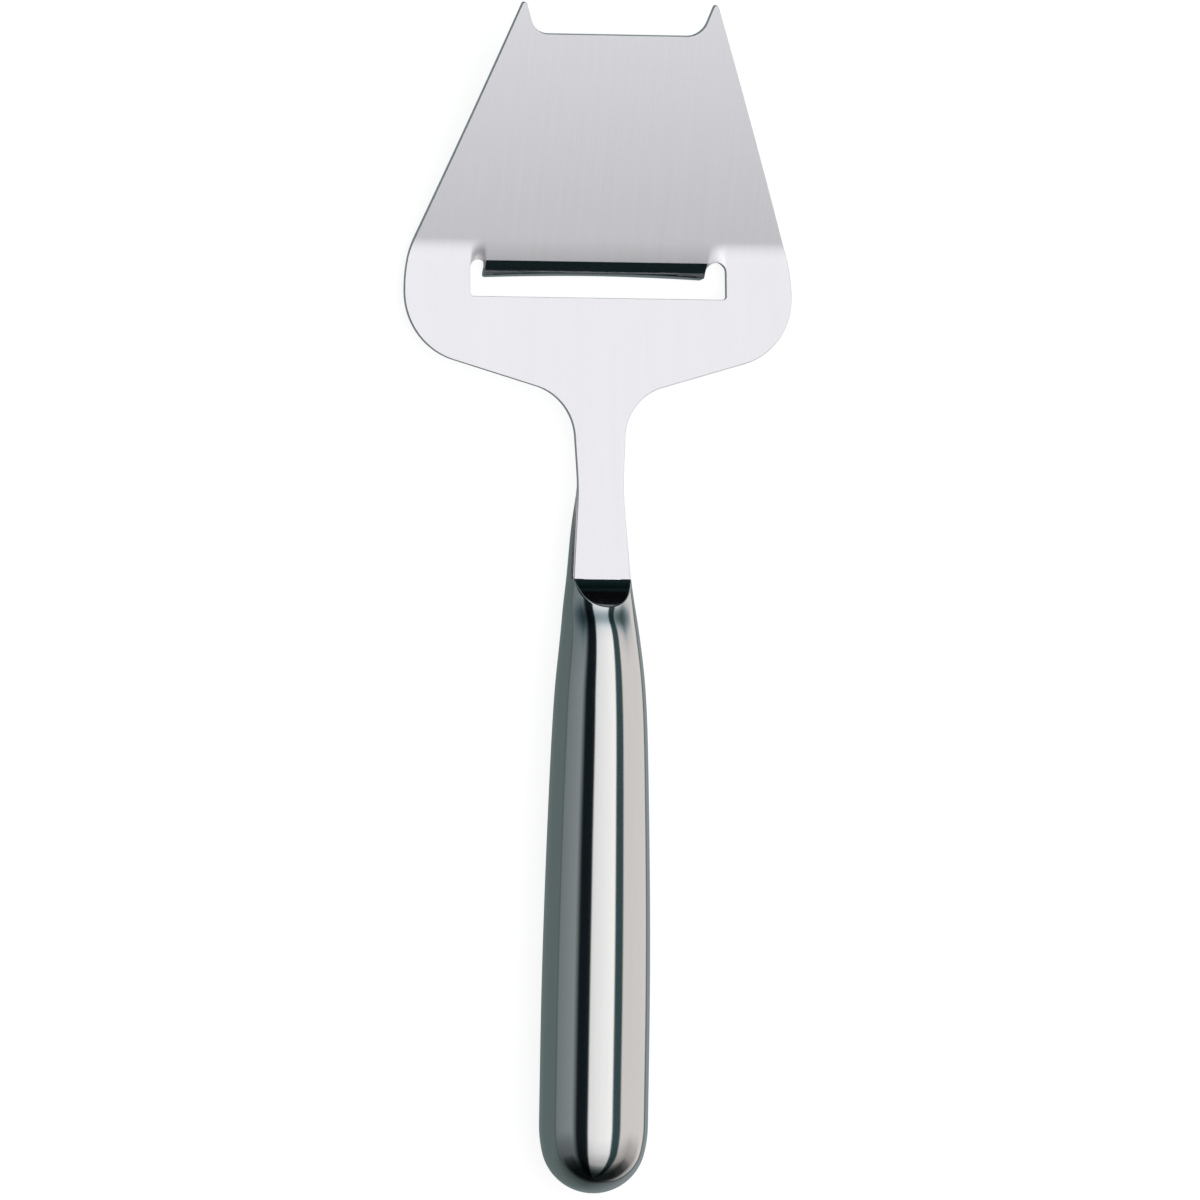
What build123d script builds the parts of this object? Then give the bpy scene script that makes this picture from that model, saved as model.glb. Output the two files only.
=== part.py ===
from build123d import *
from math import asin, atan, cos, degrees, radians, sin, sqrt, tan
import os

# Cheese slicer in steel: one stamped and bent blade sheet, whose neck lies on
# the nose of a hollow handle made of two pressed shells.
# X runs across the blade, Y from the round end of the handle to the prongs,
# Z up from the table that the handle's belly and the cutting lip lie on.
# Lengths are in millimetres and angles in degrees.

# Whole slicer
overall_length = 240.0
overrun = 5.0

# Handle, measured from the step where the neck goes into it
handle_length = 123.8
handle_radius = 11.0
shell_wall = 1.0
end_cap_length = 14.0
cap_dome_radius = 10.6
nose_reach = 24.0
cradle_depth = 9.1
parting_drop = 0.4
step_face_angle = 38.0

# Blade sheet: reaches along Y are measured from the step, distances back from the bend
sheet = 1.2
rear_pitch = 5.85
front_pitch = 17.0
tip_pitch = 12.0
bend_radius = 12.0
bend_reach = 66.0
blade_width = 81.6
shoulder_low_distance = 19.2
shoulder_high_distance = 2.8
shoulder_slope = 16.2
shoulder_low_radius = 14.0
shoulder_flat = 0.2
neck_root_radius = 11.0
neck_root_width = 10.0
waist_width = 9.4
waist_place_share = 0.495
waist_radius = 60.0
step_width = 11.9
tang_width = 8.0
tang_length = 26.0
tang_corner_radius = 2.5
tang_clearance = 0.1

# Prongs
prong_length = 6.3
prong_span = 40.3
prong_point_reach = 1.03
prong_inner_lean = 2.6
prong_root_radius = 4.2
prong_tip_radius = 0.55

# Cutting slot and its pressed lip
slot_width = 54.0
slot_distance = 9.3
slot_corner_radius = 0.75
lip_width = 46.6
lip_root_distance = 1.9
lip_edge_distance = 4.95
lip_edge_bow = 0.55
lip_press_angle = 4.0
lip_bend_angle = 9.0
lip_bend_radius = 2.0
lip_corner_radius = 0.7
lip_edge_land = 0.3
lip_bevel_angle = 70.0

# Sections of the handle ahead of the step: shares of nose_reach, then shares
# of cradle_depth below the top of the neck for the widest line and the belly,
# and the crest's height over the widest line as a share of the half-width
nose_ahead_shares = (1.00, 0.81, 0.70, 0.58, 0.34, 0.00)
nose_widest_shares = (0.09, 0.10, 0.13, 0.18, 0.24, 0.285)
nose_belly_shares = (0.10, 0.32, 0.50, 0.66, 0.87, 1.00)
nose_crest_shares = (1.00, 1.00, 1.00, 1.00, 0.98, 0.95)

# Sections behind the step: shares of the length up to the end cap, then
# shares of handle_radius for the half-width, the drop of the widest line
# below the axis, the crest above the axis and the belly below it
body_behind_shares = (0.055, 0.11, 0.18, 0.27, 0.40, 0.60, 0.80, 0.91, 1.00)
body_half_width_shares = (0.673, 0.736, 0.814, 0.873, 0.920, 0.972, 0.998, 1.0, 1.0)
body_widest_shares = (0.173, 0.100, 0.045, 0.018, 0.009, 0.0, 0.0, 0.0, 0.0)
body_crest_shares = (0.420, 0.645, 0.780, 0.864, 0.915, 0.972, 0.998, 1.0, 1.0)
body_belly_shares = (0.827, 0.827, 0.855, 0.890, 0.932, 0.975, 0.998, 1.0, 1.0)
cavity_end_reach_shares = (0.00, 0.45, 0.82, 0.82)
cavity_end_height_shares = (1.00, 0.90, 0.56, 0.00)

# Sections along the handle, gathered towards the step behind it
nose_spaces = 8
body_spaces = 11
cavity_spaces = 8
gather_power = 1.5

# Places that follow from the sizes above
axis_height = handle_radius
parting_height = axis_height - parting_drop
end_y = -overall_length / 2
step_y = end_y + handle_length
cap_y = end_y + end_cap_length
cap_reach = end_cap_length - cap_dome_radius
cap_rim_radius = (handle_radius**2 + cap_reach**2 - cap_dome_radius**2) / (
    2 * (handle_radius - cap_dome_radius)
)
cap_rim_turn = degrees(asin(cap_reach / (cap_rim_radius - cap_dome_radius)))
tip_y = overall_length / 2
tip_edge_y = tip_y - prong_length
bend_y = step_y + bend_reach
slot_y = bend_y - slot_distance
lip_root_y = bend_y - lip_root_distance
lip_edge_y = bend_y - lip_edge_distance
shoulder_low_y = bend_y - shoulder_low_distance
shoulder_high_y = bend_y - shoulder_high_distance
neck_root_y = shoulder_low_y - (blade_width - neck_root_width) / 2 * tan(radians(shoulder_slope))
waist_y = step_y + waist_place_share * (neck_root_y - step_y)
prong_point_y = tip_y + prong_point_reach
flank_lean = degrees(atan((blade_width - prong_span) / 2 / (prong_point_y - shoulder_high_y)))
shoulder_low_tangent = shoulder_low_radius * tan(radians(90 - shoulder_slope) / 2)
shoulder_high_tangent = shoulder_high_y - shoulder_low_y - shoulder_low_tangent - shoulder_flat
shoulder_high_radius = shoulder_high_tangent / tan(radians(flank_lean) / 2)
rear_fall = tan(radians(rear_pitch))
sheet_rise = sheet / cos(radians(rear_pitch))
bend_turn = rear_pitch + front_pitch
bend_setback = bend_radius * tan(radians(bend_turn / 2))
bend_height = axis_height - bend_reach * rear_fall
bend_start_y = bend_y - bend_setback * cos(radians(rear_pitch))
bend_start_z = bend_height + bend_setback * sin(radians(rear_pitch))
bend_end_y = bend_y + bend_setback * cos(radians(front_pitch))
front_arc_radius = (tip_y - bend_end_y) / (sin(radians(front_pitch)) - sin(radians(tip_pitch)))
lip_slope = front_pitch + lip_press_angle + lip_bend_angle
press_radius = (bend_end_y - lip_root_y) / (
    sin(radians(front_pitch + lip_press_angle)) - sin(radians(front_pitch))
)
notch_radius = (slot_width - lip_width) / 4
notch_x = (slot_width + lip_width) / 4


def neck_top(y):
    """Height of the top face of the neck and the rear plate."""
    return axis_height - (y - step_y) * rear_fall


def handle_stations():
    """Places along Y with the half-width there and the heights of the widest line, crest and belly."""
    stations = []
    nose = zip(nose_ahead_shares, nose_widest_shares, nose_belly_shares, nose_crest_shares)
    for ahead, widest, belly, crest in nose:
        y = step_y + ahead * nose_reach
        toward_waist = min(ahead * nose_reach / (waist_y - step_y), 1)
        flush = (step_width + toward_waist * (waist_width - step_width)) / 2
        drop = widest * cradle_depth
        half_width = sqrt(flush**2 + (drop / crest) ** 2)
        top = neck_top(y)
        crest_height = top - drop + crest * half_width
        stations.append((y, half_width, top - drop, crest_height, top - belly * cradle_depth))
    body = zip(
        body_behind_shares,
        body_half_width_shares,
        body_widest_shares,
        body_crest_shares,
        body_belly_shares,
    )
    for behind, half_width, widest, crest, belly in body:
        y = step_y - behind * (step_y - cap_y)
        heights = [axis_height + share * handle_radius for share in (-widest, crest, -belly)]
        stations.append((y, half_width * handle_radius, *heights))
    return stations


def handle_places(nose_spaces, body_spaces):
    """Places of the handle's sections, from the nose's end to the end cap."""
    nose = [step_y + nose_reach * (1 - space / nose_spaces) for space in range(nose_spaces)]
    shares = [(space / body_spaces) ** gather_power for space in range(body_spaces + 1)]
    return nose + [step_y + share * (cap_y - step_y) for share in shares]


def handle_section(y):
    """Half-width of the handle at y, height of its widest line, and crest and belly from there."""
    crossing = Plane(origin=(0, y, 0), x_dir=(1, 0, 0), z_dir=(0, -1, 0))
    side = side_guide.edge().intersect(crossing)[0]
    crest = crest_guide.edge().intersect(crossing)[0]
    belly = belly_guide.edge().intersect(crossing)[0]
    return side.X, side.Z, crest.Z - side.Z, side.Z - belly.Z


def half_outline():
    """Right half of the sheet's outline in plan, from the tang's end to the tip edge."""
    corners = (
        (tang_width / 2, step_y - tang_length, tang_corner_radius),
        (tang_width / 2, step_y, 0),
        (step_width / 2, step_y, 0),
        (waist_width / 2, waist_y, waist_radius),
        (neck_root_width / 2, neck_root_y, neck_root_radius),
        (blade_width / 2, shoulder_low_y, shoulder_low_radius),
        (blade_width / 2, shoulder_high_y, shoulder_high_radius),
        (prong_span / 2, prong_point_y, prong_tip_radius),
        (prong_span / 2 - prong_inner_lean, tip_edge_y, prong_root_radius),
    )
    points = [(x, y) for x, y, radius in corners]
    radii = [radius for x, y, radius in corners]
    start = (0, step_y - tang_length)
    end = (0, tip_edge_y)
    return FilletPolyline(start, *points, end, radius=radii)


# Lines that guide the handle's sections: along its sides, its crest and its belly
with BuildLine() as side_guide:
    Spline(*[(half_width, y, widest) for y, half_width, widest, crest, belly in handle_stations()])
with BuildLine() as crest_guide:
    Spline(*[(0, y, crest) for y, half_width, widest, crest, belly in handle_stations()])
with BuildLine() as belly_guide:
    Spline(*[(0, y, belly) for y, half_width, widest, crest, belly in handle_stations()])

# The handle's whole form before it is parted: sections of two half ellipses
# and an end cap of two arcs turned about the axis
with BuildPart() as handle_form:
    for y in handle_places(nose_spaces, body_spaces):
        half_width, widest, crest, belly = handle_section(y)
        with BuildSketch(Plane(origin=(0, y, widest), x_dir=(1, 0, 0), z_dir=(0, -1, 0))):
            with BuildLine():
                EllipticalCenterArc((0, 0), half_width, crest, start_angle=0, arc_size=180)
                EllipticalCenterArc((0, 0), half_width, belly, start_angle=180, arc_size=180)
            make_face()
    loft(ruled=True)
    with BuildSketch(Plane.YZ):
        with BuildLine():
            rim = JernArc((cap_y, axis_height + handle_radius), (-1, 0), cap_rim_radius, cap_rim_turn)
            dome = JernArc(rim @ 1, rim % 1, cap_dome_radius, 90 - cap_rim_turn)
            Polyline(dome @ 1, (cap_y, axis_height), rim @ 0)
        make_face()
    revolve(axis=Axis((0, cap_y, axis_height), (0, 1, 0)))

# The space inside it, round all along
with BuildPart() as handle_cavity:
    cavity_radius = handle_radius - shell_wall
    for y in handle_places(nose_spaces, cavity_spaces):
        half_width, widest, crest, belly = handle_section(y)
        radius = min(half_width, crest, belly) - shell_wall
        if radius > shell_wall:
            with BuildSketch(Plane(origin=(0, y, widest), x_dir=(1, 0, 0), z_dir=(0, -1, 0))):
                Circle(radius)
    loft(ruled=True)
    with BuildSketch(Plane.YZ):
        with BuildLine():
            inner_cap = end_cap_length - shell_wall
            end_points = [
                (cap_y - reach * inner_cap, axis_height + height * cavity_radius)
                for reach, height in zip(cavity_end_reach_shares, cavity_end_height_shares)
            ]
            Polyline((cap_y, axis_height), *end_points, close=True)
        make_face()
    revolve(axis=Axis((0, cap_y, axis_height), (0, 1, 0)))

# The sheet seen from the side: the tang along the handle's axis, the neck and
# rear plate sloping down, the bend, then the front plate as a long flat arc
with BuildPart() as bent_sheet:
    with BuildSketch(Plane.YZ) as sheet_side:
        with BuildLine() as sheet_top:
            tang_end = (step_y - tang_length - overrun, axis_height)
            rear = Polyline(tang_end, (step_y, axis_height), (bend_start_y, bend_start_z))
            bend = JernArc(rear @ 1, rear % 1, bend_radius, bend_turn)
            front = JernArc(bend @ 1, bend % 1, front_arc_radius, tip_pitch - front_pitch)
            PolarLine(front @ 1, overrun, direction=front % 1)
            offset(amount=sheet, side=Side.RIGHT)
        make_face()
    extrude(amount=blade_width / 2, both=True)

# The strip that is pressed down out of the sheet, seen from the side
with BuildPart() as pressed_strip:
    with BuildSketch(Plane.YZ):
        with BuildLine():
            press = JernArc(bend @ 1, -(bend % 1), press_radius, lip_press_angle)
            turn = JernArc(press @ 1, press % 1, lip_bend_radius, lip_bend_angle)
            PolarLine(turn @ 1, lip_edge_distance - lip_root_distance + overrun, direction=turn % 1)
            offset(amount=sheet, side=Side.LEFT)
        make_face()
    extrude(amount=lip_width / 2, both=True)

# The tongue is that strip within its plan, which has the bowed cutting edge:
# upright below the land's top and leaning forward above it, as the bevel is
lip_top_z = (turn @ 1).Y - ((turn @ 1).X - lip_edge_y) * tan(radians(lip_slope))
land_z = lip_top_z - sheet / cos(radians(lip_slope)) + lip_edge_land
with BuildPart() as pressed_tongue:
    with BuildSketch(Plane.XY.offset(land_z)) as tongue_plan:
        with BuildLine():
            corner_x = lip_width / 2
            corner_y = lip_edge_y - lip_edge_bow
            edge_bow = ThreePointArc((-corner_x, corner_y), (0, lip_edge_y), (corner_x, corner_y))
            Polyline(edge_bow @ 1, (corner_x, bend_y + overrun), (-corner_x, bend_y + overrun), edge_bow @ 0)
        make_face()
        fillet(tongue_plan.vertices().group_by(Axis.Y)[0], lip_corner_radius)
    extrude(amount=-bend_height)
    lean = (0, cos(radians(lip_bevel_angle)), sin(radians(lip_bevel_angle)))
    extrude(tongue_plan.sketch, amount=bend_height, dir=lean)
    add(pressed_strip.part, mode=Mode.INTERSECT)

# Each side of the tongue the sheet is drawn from the bend down to the tongue
with BuildPart() as drawn_side:
    with BuildSketch(Plane.YZ.offset(lip_width / 2)) as drawn_inner:
        with BuildLine():
            JernArc(bend @ 1, -(bend % 1), press_radius, lip_press_angle)
            offset(amount=sheet, side=Side.LEFT)
        make_face()
    with BuildSketch(Plane.YZ.offset(slot_width / 2)) as drawn_outer:
        with BuildLine():
            JernArc(bend @ 1, -(bend % 1), bend_radius, -bend_turn)
            offset(amount=sheet, side=Side.LEFT)
        make_face()
    loft()
    mirror(about=Plane.YZ)

with BuildPart() as blade:
    # the bent sheet, cut to its outline
    add(bent_sheet.part)
    with BuildSketch():
        with BuildLine():
            half_outline()
            mirror(about=Plane.YZ)
        make_face()
    extrude(amount=overall_length, both=True, mode=Mode.INTERSECT)
    # the slot, open up to the bend, with its two lower corners rounded
    with BuildSketch() as slot:
        slot_length = bend_end_y - slot_y
        with Locations((0, slot_y + slot_length / 2)):
            Rectangle(slot_width, slot_length)
        fillet(slot.vertices().group_by(Axis.Y)[0], slot_corner_radius)
    extrude(amount=overall_length, both=True, mode=Mode.SUBTRACT)
    # the tongue and the drawn sides fill the slot's upper part
    add(pressed_tongue.part)
    add(drawn_side.part)
    # relief notches beside the lip
    with BuildSketch():
        with BuildLine():
            notch_y = lip_root_y - notch_radius
            outer_x = slot_width / 2
            inner_x = lip_width / 2
            Line((outer_x, slot_y + slot_corner_radius), (outer_x, notch_y))
            ThreePointArc((outer_x, notch_y), (notch_x, lip_root_y), (inner_x, notch_y))
            Polyline(
                (inner_x, notch_y),
                (inner_x, slot_y + slot_corner_radius),
                (outer_x, slot_y + slot_corner_radius),
            )
        make_face()
        mirror(about=Plane.YZ)
    extrude(amount=overall_length, both=True, mode=Mode.SUBTRACT)
blade.part.label = "blade"

# The room that the tang takes in the upper shell's front wall
with BuildPart() as tang_room:
    with BuildSketch(Plane.XY.offset(axis_height)):
        room_length = tang_length + tang_clearance
        with Locations((0, step_y - room_length / 2)):
            Rectangle(tang_width + 2 * tang_clearance, room_length)
    extrude(amount=-sheet_rise)


def above_parting(setback, drop):
    """Solid over the parting plane and behind the step face, which is moved back by setback."""
    rise = handle_radius + overrun
    face_run = 1 / tan(radians(step_face_angle))
    front_y = step_y - setback / sin(radians(step_face_angle))
    with BuildPart() as region:
        with BuildSketch(Plane.YZ):
            with BuildLine():
                Polyline(
                    (end_y - overrun, parting_height - drop),
                    (front_y, parting_height - drop),
                    (front_y, axis_height),
                    (front_y - rise * face_run, axis_height + rise),
                    (end_y - overrun, axis_height + rise),
                    close=True,
                )
            make_face()
        extrude(amount=handle_radius + overrun, both=True)
    return region.part


with BuildPart() as upper_cavity:
    add(handle_cavity.part)
    add(above_parting(shell_wall, overrun), mode=Mode.INTERSECT)

# The upper shell closes the handle's front with its inclined step face
with BuildPart() as handle_upper_shell:
    add(handle_form.part)
    add(above_parting(0, 0), mode=Mode.INTERSECT)
    add(upper_cavity.part, mode=Mode.SUBTRACT)
    add(tang_room.part, mode=Mode.SUBTRACT)
handle_upper_shell.part.label = "handle_upper_shell"

# The lower shell runs out under the neck as a nose, whose seat the neck lies on
with BuildPart() as handle_lower_shell:
    add(handle_form.part)
    with BuildSketch(Plane.YZ):
        with BuildLine():
            seat_end_y = step_y + nose_reach + overrun
            Polyline(
                (end_y - overrun, parting_height),
                (step_y, parting_height),
                (step_y, neck_top(step_y) - sheet_rise),
                (seat_end_y, neck_top(seat_end_y) - sheet_rise),
                (seat_end_y, -overrun),
                (end_y - overrun, -overrun),
                close=True,
            )
        make_face()
    extrude(amount=handle_radius + overrun, both=True, mode=Mode.INTERSECT)
    add(handle_cavity.part, mode=Mode.SUBTRACT)
handle_lower_shell.part.label = "handle_lower_shell"

os.makedirs("parts", exist_ok=True)
export_step(blade.part, "parts/blade.step")
export_step(handle_upper_shell.part, "parts/handle_upper_shell.step")
export_step(handle_lower_shell.part, "parts/handle_lower_shell.step")
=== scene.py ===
"""The looks of a steel cheese slicer: a brushed blade sheet in a hollow polished handle.

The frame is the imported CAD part. The three visible pieces are fine meshes of the same
forms, each in place of its CAD node. Sizes are in millimetres until a mesh is made.
"""

import math

import bpy
import numpy as np
from mathutils import Matrix, Vector
from mathutils.geometry import delaunay_2d_cdt


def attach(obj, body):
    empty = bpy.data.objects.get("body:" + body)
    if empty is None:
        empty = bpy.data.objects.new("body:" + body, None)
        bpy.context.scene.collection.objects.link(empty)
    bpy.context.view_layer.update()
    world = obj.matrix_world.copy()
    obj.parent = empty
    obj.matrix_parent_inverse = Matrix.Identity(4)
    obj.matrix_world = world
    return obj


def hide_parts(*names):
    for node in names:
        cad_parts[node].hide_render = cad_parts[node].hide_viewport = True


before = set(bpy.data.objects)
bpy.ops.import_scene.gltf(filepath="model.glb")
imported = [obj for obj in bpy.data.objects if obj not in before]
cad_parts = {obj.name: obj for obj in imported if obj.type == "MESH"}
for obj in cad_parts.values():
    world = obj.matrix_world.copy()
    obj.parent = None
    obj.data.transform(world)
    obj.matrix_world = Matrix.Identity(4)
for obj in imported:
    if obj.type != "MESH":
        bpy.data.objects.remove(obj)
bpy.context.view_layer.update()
MM = 0.001

# Whole slicer and its handle
overall_length = 240.0
handle_length = 123.8
handle_radius = 11.0
shell_wall = 1.0
end_cap_length = 14.0
cap_dome_radius = 10.6
nose_reach = 24.0
cradle_depth = 9.1
parting_drop = 0.4
scoop_radius = 22.0
scoop_start_angle = 29.5
scoop_reach_share = 0.45
scoop_edge_round = 0.7

# Blade sheet
sheet = 1.2
rear_pitch = 5.85
front_pitch = 17.0
tip_pitch = 12.0
bend_radius = 12.0
bend_reach = 66.0
blade_width = 81.6
shoulder_low_distance = 19.2
shoulder_high_distance = 2.8
shoulder_slope = 16.2
shoulder_low_radius = 14.0
shoulder_flat = 0.2
neck_root_radius = 11.0
neck_root_width = 11.4
waist_width = 9.4
waist_place_share = 0.495
waist_radius = 60.0
step_width = 11.9
tang_width = 8.0
tang_length = 26.0
tang_corner_radius = 2.5
edge_round = 0.12

# Prongs
prong_length = 6.3
prong_span = 40.3
prong_point_reach = 1.03
prong_inner_lean = 2.6
prong_root_radius = 4.2
prong_tip_radius = 0.55

# Cutting slot and its pressed lip
slot_width = 54.0
slot_distance = 9.3
slot_corner_radius = 0.75
lip_width = 46.6
lip_root_distance = 1.9
lip_edge_distance = 4.95
lip_edge_bow = 0.55
lip_press_angle = 4.0
lip_bend_angle = 9.0
lip_bend_radius = 2.0
lip_corner_radius = 0.7
lip_edge_land = 0.3
lip_bevel_angle = 70.0

# Sections ahead of the step, in shares: reach, drops of the widest line and the belly, height of the crest
nose_ahead_shares = (1.00, 0.81, 0.70, 0.58, 0.34, 0.00)
nose_widest_shares = (0.09, 0.10, 0.13, 0.18, 0.24, 0.285)
nose_belly_shares = (0.10, 0.32, 0.50, 0.66, 0.87, 1.00)
nose_crest_shares = (1.00, 1.00, 1.00, 1.00, 0.96, 0.91)

# Sections behind the step, in shares: reach, half-width, drop of the widest line, crest, belly
body_behind_shares = (0.055, 0.08, 0.11, 0.18, 0.27, 0.40, 0.60, 0.80, 0.91, 1.00)
body_half_width_shares = (0.673, 0.702, 0.736, 0.814, 0.873, 0.920, 0.972, 0.998, 1.0, 1.0)
body_widest_shares = (0.173, 0.136, 0.100, 0.045, 0.018, 0.009, 0.0, 0.0, 0.0, 0.0)
body_crest_shares = (0.420, 0.545, 0.652, 0.781, 0.864, 0.915, 0.972, 0.998, 1.0, 1.0)
body_belly_shares = (0.827, 0.826, 0.827, 0.855, 0.890, 0.932, 0.975, 0.998, 1.0, 1.0)

# Places that follow
axis_height = handle_radius
parting_height = axis_height - parting_drop
end_y = -overall_length / 2
tip_y = overall_length / 2
step_y = end_y + handle_length
cap_y = end_y + end_cap_length
tip_edge_y = tip_y - prong_length
bend_y = step_y + bend_reach
slot_y = bend_y - slot_distance
lip_root_y = bend_y - lip_root_distance
lip_edge_y = bend_y - lip_edge_distance
shoulder_low_y = bend_y - shoulder_low_distance
shoulder_high_y = bend_y - shoulder_high_distance
rear_fall = math.tan(math.radians(rear_pitch))
sheet_rise = sheet / math.cos(math.radians(rear_pitch))
neck_root_y = shoulder_low_y - (blade_width - neck_root_width) / 2 * math.tan(math.radians(shoulder_slope))
waist_y = step_y + waist_place_share * (neck_root_y - step_y)
belly_rim = axis_height - sheet_rise
notch_radius = (slot_width - lip_width) / 4

# The light tent, and the share of light that the polished steel gives back
tent_strength = 2.0
polish = 0.53
tent_half_width = 0.4
table_reach = 2.5
end_reach = 4.0

# Fineness of the blade's mesh
arc_step = math.radians(5)
chord = 0.5
bend_steps = 24
front_steps = 60
press_steps = 16
lip_turn_steps = 8
lip_edge_points = 40
lip_rows = 10
bevel_points = 61
side_draw_columns = 7
flat_row_spacing = 4.0
edge_turns = [math.radians(angle) for angle in (0, 30, 60, 90)]

# Fineness of the handle's meshes
shell_columns = 88
lead_rows = 26
lead_length = 6.0
body_steps = 90
body_gather_power = 1.35
near_rows = 49
near_length = 24.0
nose_rows = 60
face_rows = 17
rounding_rows = 8
rounding_fade_radii = 4
cap_rim_rows = 8
cap_dome_rows = 34
cap_seat_rows = 4
upper_band_steps = 3
lower_band_steps = 4
halvings = 40

# Small lengths and limits that keep the sums sound
crease = 0.001
probe = 0.02
edge_probe = 0.05
corner_pull_share = 0.02
row_margin = 1.0
weld_decimals = 5
row_decimals = 3
plan_gap = 1e-5
nearly = 1e-6
least_length = 1e-12
least_cosine = 0.35
least_mean = 0.6


def unit(v):
    """Vectors of length one."""
    v = np.asarray(v, float)
    return v / np.maximum(np.linalg.norm(v, axis=-1, keepdims=True), least_length)


def border(low, high, is_low):
    """The place between low and high beyond which is_low no longer holds."""
    for _ in range(halvings):
        middle = (low + high) / 2
        if is_low(middle):
            low = middle
        else:
            high = middle
    return (low + high) / 2


class Skin:
    """A mesh under construction: faces with their own corner normals, welded where points meet."""

    def __init__(self):
        self.points = []
        self.index = {}
        self.faces = []
        self.normals = []

    def point(self, p):
        """Index of point p, the same for every point in that place."""
        key = tuple(np.round(np.asarray(p, float), weld_decimals) + 0.0)
        if key not in self.index:
            self.index[key] = len(self.points)
            self.points.append(key)
        return self.index[key]

    def face(self, corners, normals):
        """A face through the corners, without those that fall together."""
        ring = []
        for p, n in zip(corners, normals):
            i = self.point(p)
            if not ring or (i != ring[-1][0] and i != ring[0][0]):
                ring.append((i, n))
        if len({i for i, n in ring}) == len(ring) >= 3:
            self.faces.append([i for i, n in ring])
            self.normals.extend(n for i, n in ring)

    def grid(self, points, normals, flip=False):
        """Quads over rows of points, wound the other way if flip."""
        rows, columns = len(points), len(points[0])
        for r in range(rows - 1):
            for c in range(columns - 1):
                corners = [(r, c), (r, c + 1), (r + 1, c + 1), (r + 1, c)]
                if flip:
                    corners.reverse()
                self.face([points[i][j] for i, j in corners], [normals[i][j] for i, j in corners])

    def thicken(self, wall, lowest, highest):
        """Gives the open skin a wall inwards, kept between two heights that are functions of y."""
        outer = list(self.faces)
        sums = np.zeros((len(self.points), 3))
        counts = np.zeros(len(self.points))
        for i, n in zip([i for face in outer for i in face], self.normals):
            sums[i] += n
            counts[i] += 1
        means = sums / np.maximum(counts, 1)[:, None]
        depth = wall / np.clip(np.linalg.norm(means, axis=1), least_mean, 1)
        inward = -unit(means)
        moved = np.array(self.points) + inward * depth[:, None]
        for p in moved:
            p[2] = min(max(p[2], lowest(p[1])), highest(p[1]))
        for face in outer:
            self.face([moved[i] for i in face[::-1]], [inward[i] for i in face[::-1]])
        edges = {(a, b) for face in outer for a, b in zip(face, face[1:] + face[:1])}
        for a, b in edges:
            if (b, a) not in edges:
                corners = [np.array(self.points[b]), np.array(self.points[a]), moved[a], moved[b]]
                normal = unit(np.cross(corners[1] - corners[0], corners[3] - corners[0]))
                self.face(corners, [normal] * len(corners))

    def make(self, name, material, node):
        """The finished piece, in metres, in place of the CAD node."""
        mesh = bpy.data.meshes.new(name)
        mesh.from_pydata((np.array(self.points) * MM).tolist(), [], self.faces)
        mesh.polygons.foreach_set("use_smooth", [True] * len(mesh.polygons))
        mesh.normals_split_custom_set(unit(self.normals).tolist())
        mesh.materials.append(material)
        piece = bpy.data.objects.new(name, mesh)
        bpy.context.scene.collection.objects.link(piece)
        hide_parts(node)
        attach(piece, "root")
        return piece


def rounded(corners):
    """Points along an open path whose corners, (x, y, radius), are rounded."""
    path = [np.array(corners[0][:2], float)]
    for before, corner, after in zip(corners, corners[1:], corners[2:]):
        here, radius = np.array(corner[:2], float), corner[2]
        into = unit(here - np.array(before[:2], float))
        out = unit(np.array(after[:2], float) - here)
        turn = math.atan2(into[0] * out[1] - into[1] * out[0], float(into @ out))
        if radius == 0:
            path.append(here)
            continue
        start = here - into * radius * math.tan(abs(turn) / 2)
        arm = -math.copysign(radius, turn) * np.array((-into[1], into[0]))
        steps = max(3, math.ceil(abs(turn) / arc_step), math.ceil(abs(turn) * radius / chord))
        for step in range(steps + 1):
            angle = turn * step / steps
            spun = np.array((
                arm[0] * math.cos(angle) - arm[1] * math.sin(angle),
                arm[0] * math.sin(angle) + arm[1] * math.cos(angle),
            ))
            path.append(start - arm + spun)
    path.append(np.array(corners[-1][:2], float))
    return path


def mirrored_loop(right):
    """The closed loop of a path from the middle line and its mirror image."""
    return right + [np.array((-x, y)) for x, y in right[-2:0:-1]]


def run(start, heading, radius, turn, steps):
    """Points and headings, in degrees, of an arc seen from the side."""
    y, z = start
    arm = math.copysign(radius, turn)
    first = math.radians(heading)
    centre_y, centre_z = y - arm * math.sin(first), z + arm * math.cos(first)
    rows = []
    for step in range(steps + 1):
        h = first + math.radians(turn) * step / steps
        rows.append((centre_y + arm * math.sin(h), centre_z - arm * math.cos(h), math.degrees(h)))
    return rows


# The sheet's top seen from the side, as (y, z, pitch), from the tang to the prongs
bend_setback = bend_radius * math.tan(math.radians(rear_pitch + front_pitch) / 2)
bend_height = axis_height - bend_reach * rear_fall
bend_start_y = bend_y - bend_setback * math.cos(math.radians(rear_pitch))
bend_start_z = bend_height + bend_setback * math.sin(math.radians(rear_pitch))
bend_end_y = bend_y + bend_setback * math.cos(math.radians(front_pitch))
front_arc_radius = (tip_y - bend_end_y) / (
    math.sin(math.radians(front_pitch)) - math.sin(math.radians(tip_pitch))
)
bend = run((bend_start_y, bend_start_z), -rear_pitch, bend_radius, rear_pitch + front_pitch, bend_steps)
front = run(bend[-1][:2], front_pitch, front_arc_radius, tip_pitch - front_pitch, front_steps)
sheet_side = [
    (step_y - tang_length - sheet, axis_height, 0.0),
    (step_y - crease, axis_height, 0.0),
    (step_y, axis_height, -rear_pitch),
    *bend,
    *front[1:],
]

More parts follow.
